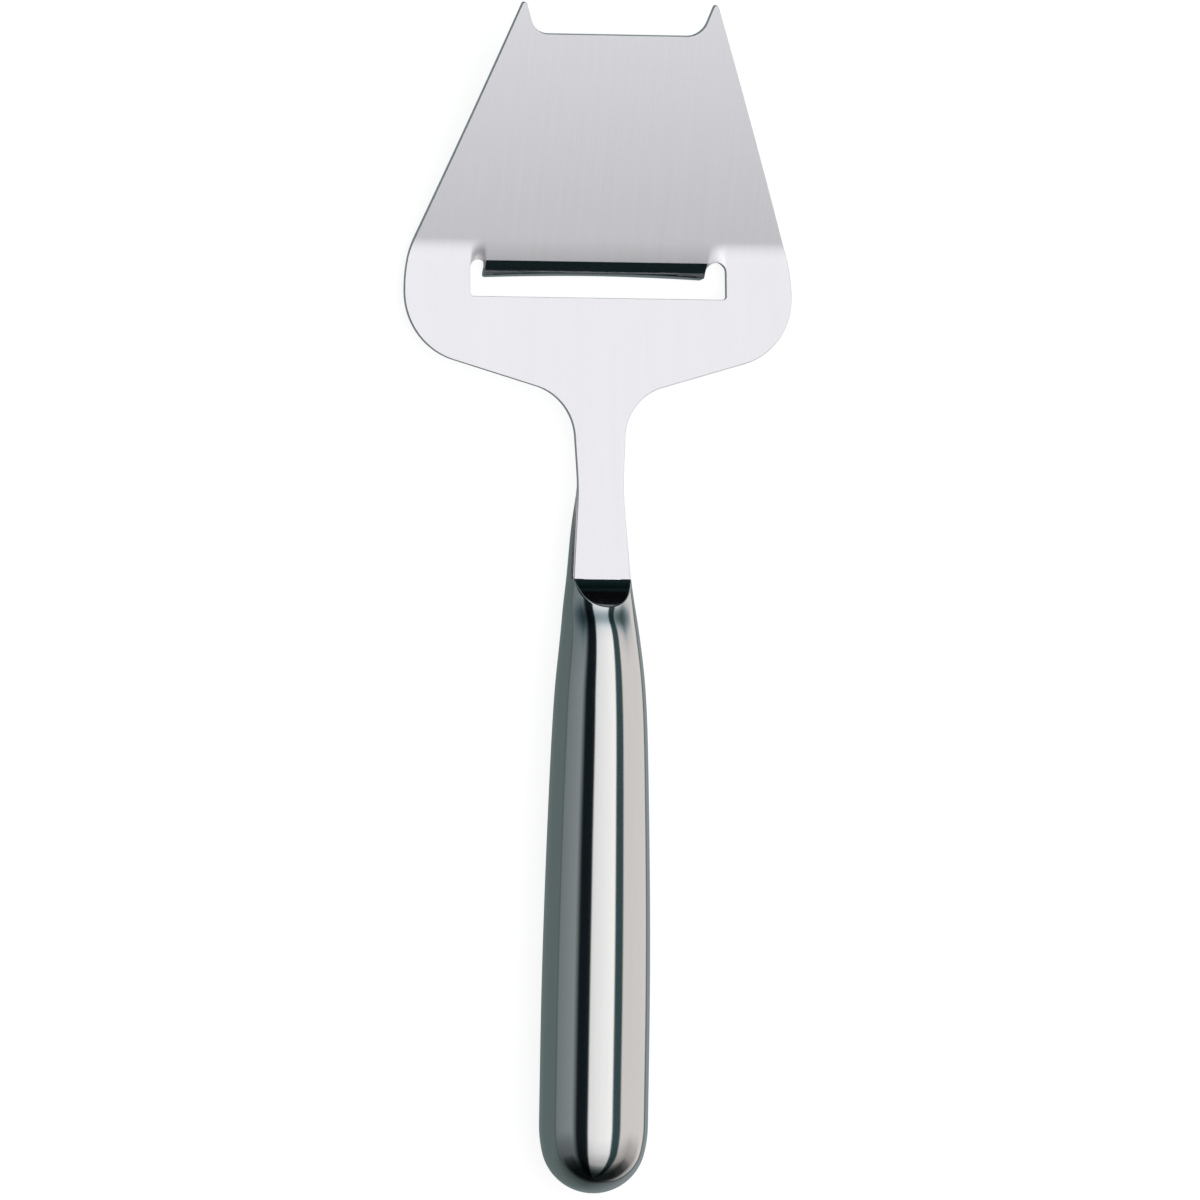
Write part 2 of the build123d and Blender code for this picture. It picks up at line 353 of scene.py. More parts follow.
# The pressed strip's top from the bend back to beyond the lip's edge
press_radius = (bend_end_y - lip_root_y) / (
    math.sin(math.radians(front_pitch + lip_press_angle)) - math.sin(math.radians(front_pitch))
)
press = run(bend[-1][:2], front_pitch + 180, press_radius, lip_press_angle, press_steps)
turned = run(press[-1][:2], press[-1][2], lip_bend_radius, lip_bend_angle, lip_turn_steps)
lip_slope = math.radians(front_pitch + lip_press_angle + lip_bend_angle)
lip_fall = math.tan(lip_slope)
lip_tip = (
    turned[-1][0] - lip_edge_distance,
    turned[-1][1] - lip_edge_distance * lip_fall,
    turned[-1][2],
)
strip_side = [(y, z, h - 180) for y, z, h in [*press, *turned[1:], lip_tip]][::-1]


class Profile:
    """Heights of the top and the underside of a bent sheet, and its pitch, by y."""

    def __init__(self, side):
        y, z, pitch = np.array(side).T
        self.y, self.z, self.pitch = y, z, np.radians(pitch)
        self.under_y = y + sheet * np.sin(self.pitch)
        self.under_z = z - sheet * np.cos(self.pitch)

    def top(self, y):
        return np.interp(y, self.y, self.z)

    def under(self, y):
        return np.interp(y, self.under_y, self.under_z)

    def shift(self, y):
        """How far along Y the underside lies from the top's point above it, square to the sheet."""
        return sheet * np.sin(np.interp(y, self.y, self.pitch))


plate = Profile(sheet_side)
strip = Profile(strip_side)
land_z = float(strip.top(lip_edge_y)) - sheet / math.cos(lip_slope) + lip_edge_land
bevel_rise = math.tan(math.radians(lip_bevel_angle))
strip_start_y = (slot_y + lip_edge_y) / 2
lip_turn_y, lip_turn_z = turned[len(turned) // 2][:2]


def on_lip(x, y):
    """Whether (x, y) is on the pressed lip beyond its root."""
    return abs(x) < lip_width / 2 and strip_start_y < y < lip_root_y


def lip_edge(x):
    """The bowed cutting edge's place along Y."""
    return lip_edge_y - lip_edge_bow * (2 * x / lip_width) ** 2


def bevel_start(x):
    """Where along Y the bevel meets the lip's top."""
    edge = lip_edge(x)
    return edge + (strip.top(edge) - land_z) / (bevel_rise - lip_fall)


def surface(x, y, level):
    """The sheet's value at (x, y) of what the level names: its top, its underside or its shift."""
    flat = getattr(plate, level)(y)
    if y >= bend_end_y or y < strip_start_y or abs(x) >= slot_width / 2:
        return float(flat)
    pressed = getattr(strip, level)(y)
    across = min(max((abs(x) - lip_width / 2) / (slot_width / 2 - lip_width / 2), 0), 1)
    return float(pressed + across**2 * (3 - 2 * across) * (flat - pressed))


def top_height(x, y):
    """Height of the sheet's top, with the bevel at the cutting edge."""
    z = surface(x, y, "top")
    if on_lip(x, y):
        z = min(z, land_z + (y - lip_edge(x)) * bevel_rise)
    return z


def top_normal(x, y):
    """Upward normal of the sheet's top."""
    dz_dy = (top_height(x, y + probe) - top_height(x, y - probe)) / (2 * probe)
    dz_dx = 0.0
    if lip_width / 2 + probe < abs(x) < slot_width / 2 - probe:
        dz_dx = (top_height(x + probe, y) - top_height(x - probe, y)) / (2 * probe)
    return unit((-dz_dx, -dz_dy, 1.0))


def under_point(x, y):
    """The underside's point opposite the top's (x, y)."""
    keep = 1.0
    if on_lip(x, y):
        keep = min(max((y - lip_edge_y) / (lip_root_y - lip_edge_y), 0), 1)
    shifted = y + keep * surface(x, y, "shift")
    return (x, shifted, surface(x, shifted, "under"))


def blade_outline():
    """Closed outline of the sheet in plan, counter-clockwise."""
    flank_lean = math.atan((blade_width - prong_span) / 2 / (tip_y + prong_point_reach - shoulder_high_y))
    low_tangent = shoulder_low_radius * math.tan(math.radians(90 - shoulder_slope) / 2)
    high_tangent = shoulder_high_y - shoulder_low_y - low_tangent - shoulder_flat
    shoulder_high_radius = high_tangent / math.tan(flank_lean / 2)
    return mirrored_loop(rounded([
        (0, step_y - tang_length, 0),
        (tang_width / 2, step_y - tang_length, tang_corner_radius),
        (tang_width / 2, step_y, 0),
        (step_width / 2, step_y, 0),
        (waist_width / 2, waist_y, waist_radius),
        (neck_root_width / 2, neck_root_y, neck_root_radius),
        (blade_width / 2, shoulder_low_y, shoulder_low_radius),
        (blade_width / 2, shoulder_high_y, shoulder_high_radius),
        (prong_span / 2, tip_y + prong_point_reach, prong_tip_radius),
        (prong_span / 2 - prong_inner_lean, tip_edge_y, prong_root_radius),
        (0, tip_edge_y, 0),
    ]))


def slot_outline():
    """Closed outline of the slot with its notches and the lip's edge, counter-clockwise."""
    half = slot_width / 2
    lip_half = lip_width / 2
    corner_end = lip_half - 2 * lip_corner_radius
    right = rounded([
        (0, slot_y, 0),
        (half, slot_y, slot_corner_radius),
        (half, lip_root_y, notch_radius),
        (lip_half, lip_root_y, notch_radius),
        (lip_half, lip_edge_y - lip_edge_bow, lip_corner_radius),
        (corner_end, lip_edge(corner_end), 0),
    ])
    right += [np.array((x, lip_edge(x))) for x in np.linspace(corner_end, 0, lip_edge_points)[1:]]
    return mirrored_loop(right)


def moved_in(loop, distance):
    """A closed loop moved to its left by the distance."""
    loop = np.array(loop)
    ahead = unit(np.roll(loop, -1, axis=0) - loop)
    behind = unit(loop - np.roll(loop, 1, axis=0))
    normal = unit(ahead + behind)
    cosine = np.clip((normal * ahead).sum(axis=1), least_cosine, 1)
    left = np.stack((-normal[:, 1], normal[:, 0]), axis=1)
    return loop + left * (distance / cosine)[:, None]


def inside(points, loop):
    """Whether each point lies in the closed loop."""
    x, y = points[:, 0], points[:, 1]
    hit = np.zeros(len(points), bool)
    for (x0, y0), (x1, y1) in zip(loop, np.roll(loop, -1, axis=0)):
        crosses = (y0 > y) != (y1 > y)
        if y0 != y1:
            hit ^= crosses & (x < (x1 - x0) * (y - y0) / (y1 - y0) + x0)
    return hit


def blade_rows():
    """Places along Y where the flat mesh gets a row of edges."""
    bends = [y for y, z, h in [*bend, *front]]
    lips = [y for y, z, h in strip_side if y > lip_edge_y - row_margin]
    flats = list(np.arange(step_y, bend_start_y - row_margin, flat_row_spacing))
    fine = list(np.linspace(lip_edge_y, lip_root_y, lip_rows))
    return sorted(set(np.round(bends + lips + flats + fine, row_decimals)))


def flat_mesh(outer, hole):
    """Plan points and triangles that fill the outline around the hole, with rows for the bends."""
    points, edges = [], []

    def add(line, closed=False):
        start = len(points)
        count = len(line)
        points.extend(Vector(p) for p in line)
        edges.extend((start + i, start + (i + 1) % count) for i in range(count if closed else count - 1))

    add(outer, closed=True)
    add(hole, closed=True)
    for y in blade_rows():
        add([(-blade_width, y), (blade_width, y)])
    for x in np.linspace(lip_width / 2, slot_width / 2, side_draw_columns):
        for side in (-1, 1):
            add([(side * x, lip_root_y - notch_radius), (side * x, bend_end_y)])
    add([(x, bevel_start(x)) for x in np.linspace(-lip_width / 2, lip_width / 2, bevel_points)])
    filled = delaunay_2d_cdt(points, edges, [], 0, plan_gap)
    found = np.array([tuple(p) for p in filled[0]])
    faces = np.array([f for f in filled[2] if len(f) == 3])
    middles = found[faces].mean(axis=1)
    return found, faces[inside(middles, outer) & ~inside(middles, hole)]


def borders(faces):
    """Closed loops of the edges that only one triangle has, each with the faces on its left."""
    edges = {}
    for a, b, c in faces:
        for pair in ((a, b), (b, c), (c, a)):
            edges[pair] = True
    following = {a: b for a, b in edges if (b, a) not in edges}
    loops = []
    while following:
        start, here = following.popitem()
        loop = [start]
        while here != start:
            loop.append(here)
            here = following.pop(here)
        loops.append(loop)
    return loops


def edge_arcs(places, outward, level, sense):
    """Arcs and their normals that round a blanked edge: sense is 1 for the top, -1 for the underside."""
    arcs, arc_normals = [], []
    for place, out, point in zip(places, outward, level):
        up = top_normal(*(place - edge_probe * out[:2]))
        side = unit(out - (out @ up) * up)
        centre = np.array(point) - sense * edge_round * up
        normals = [sense * math.cos(t) * up + math.sin(t) * side for t in edge_turns][::sense]
        arcs.append([centre + edge_round * n for n in normals])
        arc_normals.append(normals)
    return arcs, arc_normals


def make_blade(material, lip_material):
    """The bent sheet: top, underside and the rounded, blanked edges between them."""
    outline = [(x, y - max(float(plate.shift(y)), 0)) for x, y in blade_outline()]
    flat, faces = flat_mesh(moved_in(outline, edge_round), moved_in(slot_outline(), -edge_round))
    tops = [(x, y, top_height(x, y)) for x, y in flat]
    unders = [under_point(x, y) for x, y in flat]
    skin = Skin()
    for face in faces:
        middle = flat[face].mean(axis=0)
        normals = [top_normal(*(flat[i] + corner_pull_share * (middle - flat[i]))) for i in face]
        skin.face([tops[i] for i in face], normals)
        skin.face([unders[i] for i in face[::-1]], [-n for n in normals[::-1]])
    for loop in borders(faces):
        places = flat[loop]
        along = unit(np.roll(places, -1, axis=0) - np.roll(places, 1, axis=0))
        outward = np.stack((along[:, 1], -along[:, 0], np.zeros(len(loop))), axis=1)
        upper, upper_normals = edge_arcs(places, outward, [tops[i] for i in loop], 1)
        lower, lower_normals = edge_arcs(places, outward, [unders[i] for i in loop], -1)
        wall = [a + b for a, b in zip(upper, lower)]
        wall_normals = [a + b for a, b in zip(upper_normals, lower_normals)]
        skin.grid(wall + wall[:1], wall_normals + wall_normals[:1])
    piece = skin.make("blade_sheet", material, "blade")
    piece.data.materials.append(lip_material)
    for polygon in piece.data.polygons:
        x, y, z = (c / MM for c in polygon.center)
        if abs(x) <= lip_width / 2 and lip_edge_y - row_margin < y < lip_turn_y and z < lip_turn_z:
            polygon.material_index = 1
    return piece


def neck_top(y):
    """Height of the top face of the neck and the rear plate."""
    return axis_height - (y - step_y) * rear_fall


def seat_height(y):
    """Height of the underside of the neck, where the nose carries it."""
    return neck_top(y) - sheet_rise


def handle_stations():
    """Places along Y with the half-width there and the heights of the widest line, crest and belly."""
    stations = []
    for ahead, widest, belly, crest in zip(
        nose_ahead_shares, nose_widest_shares, nose_belly_shares, nose_crest_shares
    ):
        y = step_y + ahead * nose_reach
        toward_waist = min(ahead * nose_reach / (waist_y - step_y), 1)
        flush = (step_width + toward_waist * (waist_width - step_width)) / 2
        drop = widest * cradle_depth
        half_width = math.hypot(flush, drop / crest)
        widest_height = neck_top(y) - drop
        crest_height = widest_height + crest * half_width
        stations.append((y, half_width, widest_height, crest_height, neck_top(y) - belly * cradle_depth))
    for behind, half_width, widest, crest, belly in zip(
        body_behind_shares, body_half_width_shares, body_widest_shares, body_crest_shares, body_belly_shares
    ):
        y = step_y - behind * (step_y - cap_y)
        heights = [axis_height + share * handle_radius for share in (-widest, crest, -belly)]
        stations.append((y, half_width * handle_radius, *heights))
    return np.array(stations)[::-1]


def slopes(x, values):
    """Slopes at the knots of the smooth curve through the values."""
    gaps, rises = np.diff(x), np.diff(values, axis=0) / np.diff(x)[:, None]
    count = len(x)
    matrix, right = np.zeros((count, count)), np.zeros(values.shape)
    matrix[0, 0] = matrix[-1, -1] = 1.0
    bend_last = (rises[-1] - rises[-2]) / (gaps[-1] + gaps[-2])
    right[-1] = rises[-1] + bend_last * gaps[-1]
    for i in range(1, count - 1):
        matrix[i, i - 1 : i + 2] = gaps[i], 2 * (gaps[i - 1] + gaps[i]), gaps[i - 1]
        right[i] = 3 * (gaps[i] * rises[i - 1] + gaps[i - 1] * rises[i])
    return np.linalg.solve(matrix, right)


stations = handle_stations()
station_y, station_values = stations[:, 0], stations[:, 1:]
station_slopes = slopes(station_y, station_values)


def body_section(y):
    """Half-width, widest height, crest and belly over and under it, then their slopes along Y."""
    i = int(np.clip(np.searchsorted(station_y, y) - 1, 0, len(station_y) - 2))
    gap = station_y[i + 1] - station_y[i]
    t = (y - station_y[i]) / gap
    knots = [station_values[i], station_slopes[i] * gap, station_values[i + 1], station_slopes[i + 1] * gap]
    weights = np.array((2 * t**3 - 3 * t**2 + 1, t**3 - 2 * t**2 + t, 3 * t**2 - 2 * t**3, t**3 - t**2))
    changes = np.array((6 * t**2 - 6 * t, 3 * t**2 - 4 * t + 1, 6 * t - 6 * t**2, 3 * t**2 - 2 * t)) / gap

    def over_and_under(half, widest, crest, belly):
        return half, widest, crest - widest, widest - belly

    return over_and_under(*(weights @ knots)), over_and_under(*(changes @ knots))


def cap_sections():
    """Rows of the end cap, from its rim to its pole: y, radius and the profile's direction."""
    reach = end_cap_length - cap_dome_radius
    rim_radius = (handle_radius**2 + reach**2 - cap_dome_radius**2) / 2 / (handle_radius - cap_dome_radius)
    rim_turn = math.asin(reach / (rim_radius - cap_dome_radius))
    rows = []
    for a in np.linspace(0, rim_turn, cap_rim_rows)[1:]:
        rows.append((cap_y - rim_radius * math.sin(a), handle_radius - rim_radius * (1 - math.cos(a)), a))
    seated = math.acos((axis_height - belly_rim) / cap_dome_radius)
    parted = math.acos(parting_drop / cap_dome_radius)
    dome_y = end_y + cap_dome_radius
    to_seat = np.linspace(rim_turn, seated, cap_dome_rows)[1:]
    to_parting = np.linspace(seated, parted, cap_seat_rows)[1:]
    for a in [*to_seat, *to_parting, math.pi / 2]:
        rows.append((dome_y - cap_dome_radius * math.sin(a), cap_dome_radius * math.cos(a), a))
    return rows


cap_rows = cap_sections()


def cap_section(cap):
    """The round section of one of the end cap's rows."""
    radius = cap[1]
    return radius, axis_height, radius, radius


def form_point(y, section, angle):
    """Point of the handle's form at an angle round its section."""
    half, widest, crest, belly = section
    height = crest if math.sin(angle) > 0 else belly
    return np.array((half * math.cos(angle), y, widest + height * math.sin(angle)))


def form_normal(section, rates, run_y, angle):
    """Outward normal there; rates are the section's changes along the profile, run_y that of y."""
    half, widest, crest, belly = section
    upper = math.sin(angle) > 0
    height = crest if upper else belly
    height_rate = rates[2] if upper else rates[3]
    size = max(half, height)
    ratio_x, ratio_z = (half / size, height / size) if size > nearly else (1.0, 1.0)
    around = np.array((-ratio_x * math.sin(angle), 0, ratio_z * math.cos(angle)))
    along = np.array((rates[0] * math.cos(angle), run_y, rates[1] + height_rate * math.sin(angle)))
    return unit(np.cross(around, along))


def body_point(y, angle):
    """Point and normal of the handle's body."""
    section, rates = body_section(y)
    return form_point(y, section, angle), form_normal(section, [-r for r in rates], -1.0, angle)


def cap_point(cap, angle):
    """Point and normal of the end cap."""
    y, direction = cap[0], cap[2]
    section = cap_section(cap)
    shrink = -math.sin(direction)
    normal = form_normal(section, (shrink, 0, shrink, shrink), -math.cos(direction), angle)
    return form_point(y, section, angle), normal


def angle_at(section, height):
    """The angle, right of the middle, where a section is at that height."""
    half, widest, crest, belly = section
    reach = crest if height > widest else belly
    return math.asin(min(max((height - widest) / max(reach, nearly), -1), 1))


def gathered(start, stop):
    """Places along the handle's body, closer near the step."""
    return [start + (stop - start) * (i / body_steps) ** body_gather_power for i in range(body_steps + 1)]


def behind_step():
    """Places of the rows from the step to the end cap's rim."""
    near = list(np.linspace(step_y, step_y - near_length, near_rows))
    return near + gathered(near[-1], cap_y)[1:]


def apart(rows):
    """Rows of points and rows of normals, from rows of both."""
    return [[p for p, n in row] for row in rows], [[n for p, n in row] for row in rows]


def mirrored(rows):
    """The same rows on the slicer's other side."""
    return [[np.array((-p[0], p[1], p[2])) for p in row] for row in rows]


def step_face(behind):
    """Height of the scooped step face over the axis, and its normal, that far behind the step."""
    start = math.radians(scoop_start_angle)
    turn = math.asin(math.sin(start) + behind / scoop_radius)
    return scoop_radius * (math.cos(start) - math.cos(turn)), np.array((0, math.sin(turn), math.cos(turn)))


def rounded_edge(edge, crown_normals):
    """Rows that round the edge between the step face, first, and the crown, last."""
    edge, crown_normals = np.array(edge), np.array(crown_normals)
    face_normals = np.array([step_face(step_y - y)[1] for x, y, z in edge])
    along = unit(np.gradient(edge, axis=0))
    on_crown = unit(np.cross(crown_normals, along))
    on_face = unit(np.cross(along, face_normals))
    on_crown *= -np.sign(on_crown[:, 1:2])
    on_face *= np.where(on_face[:, 1:2] < 0, -1, 1)
    length = np.cumsum(np.linalg.norm(np.diff(edge, axis=0, prepend=edge[:1]), axis=1))
    to_corner = np.minimum(length, length[-1] - length)
    fade = np.clip(to_corner / (rounding_fade_radii * scoop_edge_round), 0, 1)
    radius = scoop_edge_round * fade[:, None]
    turn = np.arccos(np.clip((crown_normals * face_normals).sum(axis=1, keepdims=True), -1, 1))
    reach = radius * np.tan(turn / 2)
    face_centres = edge + on_face * reach - face_normals * radius
    crown_centres = edge + on_crown * reach - crown_normals * radius
    rows, row_normals = [], []
    for t in np.linspace(0, 1, rounding_rows):
        normal = unit((1 - t) * face_normals + t * crown_normals)
        rows.append(list((1 - t) * face_centres + t * crown_centres + normal * radius))
        row_normals.append(list(normal))
    return rows, row_normals


def over_crown(section, share):
    """The angle that share of the way over the crown, from the right at the neck's top level."""
    start = angle_at(section, axis_height)
    return start + share * (math.pi - 2 * start)


def crown_point(y, share):
    """Point and normal of the body, that share of the way over its crown."""
    return body_point(y, over_crown(body_section(y)[0], share))


def crown_rows():
    """Rows of the crown, from the step face back to the end cap's pole."""

    def face_y(share):
        """Where that column of the crown meets the step face."""

        def behind_face(y):
            return crown_point(y, share)[0][2] - axis_height <= step_face(step_y - y)[0]

        return border(step_y - scoop_reach_share * scoop_radius, step_y, behind_face)

    shares = np.linspace(0, 1, shell_columns + 1)
    fronts = [face_y(share) for share in shares]
    straight_y = min(fronts) - lead_length
    rows = []
    for lead in np.arange(lead_rows) / lead_rows:
        rows.append([crown_point(y + lead * (straight_y - y), share) for y, share in zip(fronts, shares)])
    for y in gathered(straight_y, cap_y):
        rows.append([crown_point(y, share) for share in shares])
    for cap in cap_rows:
        rows.append([cap_point(cap, over_crown(cap_section(cap), share)) for share in shares])
    return apart(rows)


def add_side_bands(skin, low_height, high_height, places, steps):
    """The bands between two heights on the handle's right and left, round to the end cap's pole."""

    def angles(section):
        return np.linspace(angle_at(section, low_height), angle_at(section, high_height), steps + 1)

    rows = [[body_point(y, a) for a in angles(body_section(y)[0])] for y in places]
    rows += [[cap_point(cap, a) for a in angles(cap_section(cap))] for cap in cap_rows]
    points, normals = apart(rows)
    skin.grid(points, normals)
    skin.grid(mirrored(points), mirrored(normals), flip=True)


def add_step_face(skin, upper_edge):
    """The scooped face, from its straight lower edge to its upper edge."""
    half_width = upper_edge[0][0]
    across = np.linspace(half_width, -half_width, len(upper_edge))
    lower_edge = [np.array((x, step_y, axis_height)) for x in across]
    rows, row_normals = [], []
    for t in np.linspace(0, 1, face_rows):
        row = [a + t * (b - a) for a, b in zip(lower_edge, upper_edge)]
        if t < 1:
            row = [np.array((x, y, axis_height + step_face(step_y - y)[0])) for x, y, z in row]
        rows.append(row)
        row_normals.append([step_face(step_y - y)[1] for x, y, z in row])
    skin.grid(rows, row_normals)


def make_upper_shell(material):
    """The crown, the step face, and the side bands from the neck's top level to the parting plane."""
    skin = Skin()
    points, normals = crown_rows()
    rounding, rounding_normals = rounded_edge(points[0], normals[0])
    points[0], normals[0] = rounding[-1], rounding_normals[-1]
    skin.grid(points, normals)
    skin.grid(rounding, rounding_normals)
    add_step_face(skin, rounding[0])
    places = [row[0][1] for row in points[: -len(cap_rows)]]
    add_side_bands(skin, parting_height, axis_height, places, upper_band_steps)
    skin.thicken(shell_wall, lambda y: parting_height, lambda y: 2 * handle_radius)
    return skin.make("handle_upper_skin", material, "handle_upper_shell")


def make_lower_shell(material):
    """The belly, the side bands up to the parting plane, and the nose under the neck."""

    def under_belly(section, height):
        """Angles from the left side at that height, down under the belly and up the right side."""
        start = math.pi - angle_at(section, height)
        return np.linspace(start, 3 * math.pi - start, shell_columns + 1)

    def below_neck(y):
        half, widest, crest, belly = body_section(y)[0]
        return widest - belly < seat_height(y)

    skin = Skin()
    straight_down = 1.5 * math.pi
    nose_end = border(step_y, step_y + nose_reach, below_neck)
    rows = [[body_point(nose_end, straight_down)] * (shell_columns + 1)]
    for share in np.linspace(0, 1, nose_rows)[1:]:
        y = nose_end - (nose_end - step_y) * share**2
        rows.append([body_point(y, a) for a in under_belly(body_section(y)[0], seat_height(y))])
    for y in behind_step()[1:]:
        rows.append([body_point(y, a) for a in under_belly(body_section(y)[0], belly_rim)])
    for cap in cap_rows:
        radius = cap[1]
        if radius < axis_height - belly_rim - nearly:
            break
        rows.append([cap_point(cap, a) for a in under_belly(cap_section(cap), belly_rim)])
    skin.grid(*apart(rows))
    add_side_bands(skin, belly_rim, parting_height, behind_step(), lower_band_steps)
    skin.thicken(shell_wall, lambda y: 0, lambda y: parting_height if y < step_y else seat_height(y))
    return skin.make("handle_lower_skin", material, "handle_lower_shell")


def node_tree(holder):
    """The emptied node tree of a material or a world."""
    holder.use_nodes = True
    tree = holder.node_tree
    tree.nodes.clear()
    return tree.nodes, tree.links


def streaks(nodes, links, coordinates, across, along, high, detail):
    """Noise whose features are that many millimetres wide in X, long in Y and high in Z."""
    mapping = nodes.new("ShaderNodeMapping")
    mapping.inputs["Scale"].default_value = (1 / (across * MM), 1 / (along * MM), 1 / (high * MM))
    noise = nodes.new("ShaderNodeTexNoise")
    noise.inputs["Scale"].default_value = 1.0
    noise.inputs["Detail"].default_value = detail
    links.new(coordinates.outputs["Object"], mapping.inputs["Vector"])
    links.new(mapping.outputs["Vector"], noise.inputs["Vector"])
    return noise


def steel(name, tint, darker, roughness, rough_spread, grain, bump):
    """Steel with a grain of that size in X, Y and Z: colour, roughness and relief follow drawn-out noise."""
    fine_detail, broad_detail = 3, 2
    broad_scale = 9
    broad_share = 0.45
    noise_low, noise_high = 0.3, 0.7
    relief_share = 0.1
    material = bpy.data.materials.new(name)
    nodes, links = node_tree(material)
    coordinates = nodes.new("ShaderNodeTexCoord")
    fine = streaks(nodes, links, coordinates, *grain, fine_detail)
    broad = streaks(nodes, links, coordinates, *[broad_scale * size for size in grain], broad_detail)
    blend = nodes.new("ShaderNodeMix")
    blend.inputs["Factor"].default_value = broad_share
    links.new(fine.outputs["Fac"], blend.inputs["A"])
    links.new(broad.outputs["Fac"], blend.inputs["B"])
    colour = nodes.new("ShaderNodeValToRGB")
    for element, place, value in zip(colour.color_ramp.elements, (noise_low, noise_high), (darker, tint)):
        element.position = place
        element.color = (*value, 1)
    spread = nodes.new("ShaderNodeMapRange")
    spread.inputs["From Min"].default_value = noise_low
    spread.inputs["From Max"].default_value = noise_high
    spread.inputs["To Min"].default_value = roughness - rough_spread
    spread.inputs["To Max"].default_value = roughness + rough_spread
    relief = nodes.new("ShaderNodeBump")
    relief.inputs["Strength"].default_value = bump
    relief.inputs["Distance"].default_value = grain[0] * relief_share * MM
    shader = nodes.new("ShaderNodeBsdfPrincipled")
    shader.inputs["Metallic"].default_value = 1.0
    output = nodes.new("ShaderNodeOutputMaterial")
    links.new(blend.outputs["Result"], colour.inputs["Fac"])
    links.new(blend.outputs["Result"], spread.inputs["Value"])
    links.new(fine.outputs["Fac"], relief.inputs["Height"])
    links.new(colour.outputs["Color"], shader.inputs["Base Color"])
    links.new(spread.outputs["Result"], shader.inputs["Roughness"])
    links.new(relief.outputs["Normal"], shader.inputs["Normal"])
    links.new(shader.outputs["BSDF"], output.inputs["Surface"])
    return material


def lit(level):
    """The linear value of an 8-bit screen level."""
    level = level / 255
    return level / 12.92 if level < 0.04045 else ((level + 0.055) / 1.055) ** 2.4


def seen(*levels):
    """The tent's colour that the polished steel shows at these screen levels."""
    return (*[lit(v) / polish / tent_strength for v in levels], 1.0)


def ramp(nodes, stops, reach):
    """A colour ramp from -reach to reach with (place, colour) stops."""
    node = nodes.new("ShaderNodeValToRGB")
    elements = node.color_ramp.elements
    elements.remove(elements[-1])
    for i, (place, colour) in enumerate(stops):
        share = (place + reach) / (2 * reach)
        element = elements[0] if i == 0 else elements.new(share)
        element.position = share
        element.color = colour
    return node


def calculate(nodes, links, operation, *terms):
    """The outcome of a sum of numbers and node outputs."""
    node = nodes.new("ShaderNodeMath")
    node.operation = operation
    for socket, term in zip(node.inputs, terms):
        if isinstance(term, (int, float)):
            socket.default_value = term
        else:
            links.new(term, socket)
    return node.outputs[0]


def angle_node(nodes, links, x, z):
    """The direction's angle about Y, from 0 to 1 over a full turn."""
    turn = calculate(nodes, links, "ARCTAN2", x, z)
    return calculate(nodes, links, "MULTIPLY_ADD", turn, 1 / (2 * math.pi), 0.5)


def end_node(nodes, links, x, y, z):
    """How far the direction points at the tent's ends rather than its top, sides or table, from 0 to 1."""
    least_reach = 0.001
    side = calculate(nodes, links, "MULTIPLY", calculate(nodes, links, "ABSOLUTE", x), tent_half_width)
    table = calculate(nodes, links, "MULTIPLY", z, -table_reach)
    reach = calculate(nodes, links, "MAXIMUM", calculate(nodes, links, "MAXIMUM", side, table), z)
    share = calculate(nodes, links, "DIVIDE", y, calculate(nodes, links, "MAXIMUM", reach, least_reach))
    return calculate(nodes, links, "MULTIPLY_ADD", share, 1 / (2 * end_reach), 0.5)


def round_bands():
    """The tent's colours by the angle about Y, in degrees from straight up, positive to the right."""
    table = seen(88, 100, 99)
    low_left = seen(106, 114, 116)
    grey_wall = seen(124, 132, 134)
    pale_wall = seen(202, 198, 195)
    left_gap = seen(16, 23, 27)
    right_gap = seen(51, 69, 72)
    seam = seen(70, 81, 81)
    light_left = seen(216, 217, 216)
    light_right = seen(240, 240, 239)
    return [
        (-180, table),
        (-109, table),
        (-106, seam),
        (-103, low_left),
        (-64, grey_wall),
        (-53, left_gap),
        (-30, left_gap),
        (-27, light_left),
        (22, light_right),
        (24.5, right_gap),
        (41, right_gap),
        (44, pale_wall),
        (115, pale_wall),
        (119, seam),
        (127, grey_wall),
        (180, table),
    ]


def end_bands():
    """How the tent darkens towards its ends, bluish green beyond the prongs."""
    return [
        (-4.0, (0.010, 0.014, 0.014, 1)),
        (-2.4, (0.05, 0.06, 0.06, 1)),
        (-1.7, (0.18, 0.19, 0.19, 1)),
        (-1.33, (0.42, 0.42, 0.42, 1)),
        (-1.0, (0.52, 0.52, 0.52, 1)),
        (-0.65, (0.68, 0.68, 0.68, 1)),
        (-0.43, (0.88, 0.88, 0.88, 1)),
        (-0.25, (1, 1, 1, 1)),
        (0.50, (1, 1, 1, 1)),
        (0.84, (0.86, 0.88, 0.90, 1)),
        (1.04, (0.66, 0.72, 0.76, 1)),
        (1.33, (0.34, 0.42, 0.46, 1)),
        (1.73, (0.14, 0.20, 0.21, 1)),
        (2.4, (0.03, 0.06, 0.06, 1)),
        (3.4, (0.004, 0.004, 0.006, 1)),
    ]


